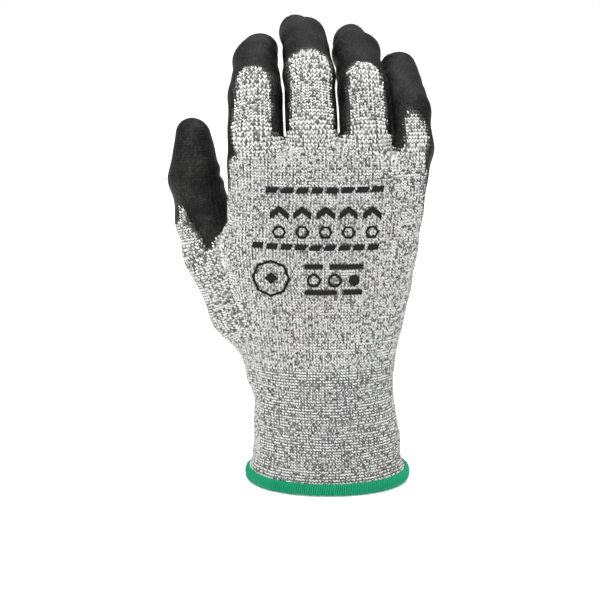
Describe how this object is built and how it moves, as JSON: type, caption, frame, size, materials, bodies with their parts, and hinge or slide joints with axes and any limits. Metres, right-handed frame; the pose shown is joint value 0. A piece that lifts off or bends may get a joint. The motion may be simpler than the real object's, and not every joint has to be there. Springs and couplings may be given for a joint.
{
  "type": "cut resistant glove",
  "caption": "Right-hand knitted cut resistant work glove, palm and fingertips coated, with an elastic cuff, an overlocked hem and fingers that bend.",
  "frame": {"origin": "centre of the wrist opening, in the lower plane of the hem", "axes": "+Z towards the fingertips, -Y the back of the hand, +Y the palm, -X the thumb side"},
  "size_m": [0.1161, 0.0876, 0.203],
  "materials": {
    "knit": "seamless knit of light and dark grey cut resistant yarn, matte",
    "coating": "thin black polyurethane dip, satin, the knit shows through",
    "elastic": "covered elastic yarn",
    "hem_thread": "green overlock thread, slight sheen",
    "ink": "black print on knit"
  },
  "bodies": {
    "hand": {"palm_knit": "knit", "palm_coating": "coating", "cuff_knit": "knit", "cuff_elastic": "elastic", "hem_overlock": "hem_thread", "back_print": "ink", "index_root_bend": "knit", "middle_root_bend": "knit", "ring_root_bend": "knit", "little_root_bend": "knit", "thumb_root_bend": "knit"},
    "index_base": {"index_base_knit": "knit", "index_base_coating": "coating", "index_middle_bend": "knit"},
    "index_middle": {"index_middle_knit": "knit", "index_middle_coating": "coating", "index_tip_bend": "knit"},
    "index_tip": {"index_tip_knit": "knit", "index_tip_coating": "coating"},
    "middle_base": {"middle_base_knit": "knit", "middle_base_coating": "coating", "middle_middle_bend": "knit"},
    "middle_middle": {"middle_middle_knit": "knit", "middle_middle_coating": "coating", "middle_tip_bend": "knit"},
    "middle_tip": {"middle_tip_knit": "knit", "middle_tip_coating": "coating"},
    "ring_base": {"ring_base_knit": "knit", "ring_base_coating": "coating", "ring_middle_bend": "knit"},
    "ring_middle": {"ring_middle_knit": "knit", "ring_middle_coating": "coating", "ring_tip_bend": "knit"},
    "ring_tip": {"ring_tip_knit": "knit", "ring_tip_coating": "coating"},
    "little_base": {"little_base_knit": "knit", "little_base_coating": "coating", "little_middle_bend": "knit"},
    "little_middle": {"little_middle_knit": "knit", "little_middle_coating": "coating", "little_tip_bend": "knit"},
    "little_tip": {"little_tip_knit": "knit", "little_tip_coating": "coating"},
    "thumb_base": {"thumb_base_knit": "knit", "thumb_base_coating": "coating", "thumb_tip_bend": "knit"},
    "thumb_tip": {"thumb_tip_knit": "knit", "thumb_tip_coating": "coating"}
  },
  "joints": [
    {"name": "index_root", "type": "hinge", "parent": "hand", "child": "index_base", "pos_m": [-0.03, 0, 0.155], "axis": [-0.9997, -0.0262, 0], "range_deg": [-28, 35], "deforming": ["index_root_bend"]},
    {"name": "index_middle", "type": "hinge", "parent": "index_base", "child": "index_middle", "pos_m": [-0.03026, 0.01, 0.17232], "axis": [-0.9997, -0.0262, 0], "range_deg": [-31, 47], "deforming": ["index_middle_bend"]},
    {"name": "index_tip", "type": "hinge", "parent": "index_middle", "child": "index_tip", "pos_m": [-0.03085, 0.03226, 0.18367], "axis": [-0.9997, -0.0262, 0], "range_deg": [-18, 25], "deforming": ["index_tip_bend"]},
    {"name": "middle_root", "type": "hinge", "parent": "hand", "child": "middle_base", "pos_m": [-0.006, 0, 0.158], "axis": [-0.9969, -0.0785, 0], "range_deg": [-28, 35], "deforming": ["middle_root_bend"]},
    {"name": "middle_middle", "type": "hinge", "parent": "middle_base", "child": "middle_middle", "pos_m": [-0.00694, 0.01196, 0.17878], "axis": [-0.9969, -0.0785, 0], "range_deg": [-31, 47], "deforming": ["middle_middle_bend"]},
    {"name": "middle_tip", "type": "hinge", "parent": "middle_middle", "child": "middle_tip", "pos_m": [-0.00897, 0.03772, 0.19195], "axis": [-0.9969, -0.0785, 0], "range_deg": [-18, 25], "deforming": ["middle_tip_bend"]},
    {"name": "ring_root", "type": "hinge", "parent": "hand", "child": "ring_base", "pos_m": [0.0174, 0, 0.156], "axis": [-0.9954, -0.0958, 0], "range_deg": [-28, 35], "deforming": ["ring_root_bend"]},
    {"name": "ring_middle", "type": "hinge", "parent": "ring_base", "child": "ring_middle", "pos_m": [0.01639, 0.01045, 0.17419], "axis": [-0.9954, -0.0958, 0], "range_deg": [-31, 47], "deforming": ["ring_middle_bend"]},
    {"name": "ring_tip", "type": "hinge", "parent": "ring_middle", "child": "ring_tip", "pos_m": [0.01409, 0.0344, 0.18644], "axis": [-0.9954, -0.0958, 0], "range_deg": [-18, 25], "deforming": ["ring_tip_bend"]},
    {"name": "little_root", "type": "hinge", "parent": "hand", "child": "little_base", "pos_m": [0.038, 0.001, 0.15], "axis": [-0.9903, -0.1392, 0], "range_deg": [-28, 35], "deforming": ["little_root_bend"]},
    {"name": "little_middle", "type": "hinge", "parent": "little_base", "child": "little_middle", "pos_m": [0.03682, 0.00942, 0.16472], "axis": [-0.9903, -0.1392, 0], "range_deg": [-31, 47], "deforming": ["little_middle_bend"]},
    {"name": "little_tip", "type": "hinge", "parent": "little_middle", "child": "little_tip", "pos_m": [0.03434, 0.02706, 0.1738], "axis": [-0.9903, -0.1392, 0], "range_deg": [-18, 25], "deforming": ["little_tip_bend"]},
    {"name": "thumb_root", "type": "hinge", "parent": "hand", "child": "thumb_base", "pos_m": [-0.0533, 0.0124, 0.116], "axis": [0.4806, -0.866, 0.1378], "range_deg": [-27, 18], "deforming": ["thumb_root_bend"]},
    {"name": "thumb_tip", "type": "hinge", "parent": "thumb_base", "child": "thumb_tip", "pos_m": [-0.05738, 0.01306, 0.13434], "axis": [0.4806, -0.866, 0.1378], "range_deg": [-49, 17], "deforming": ["thumb_tip_bend"]}
  ]
}
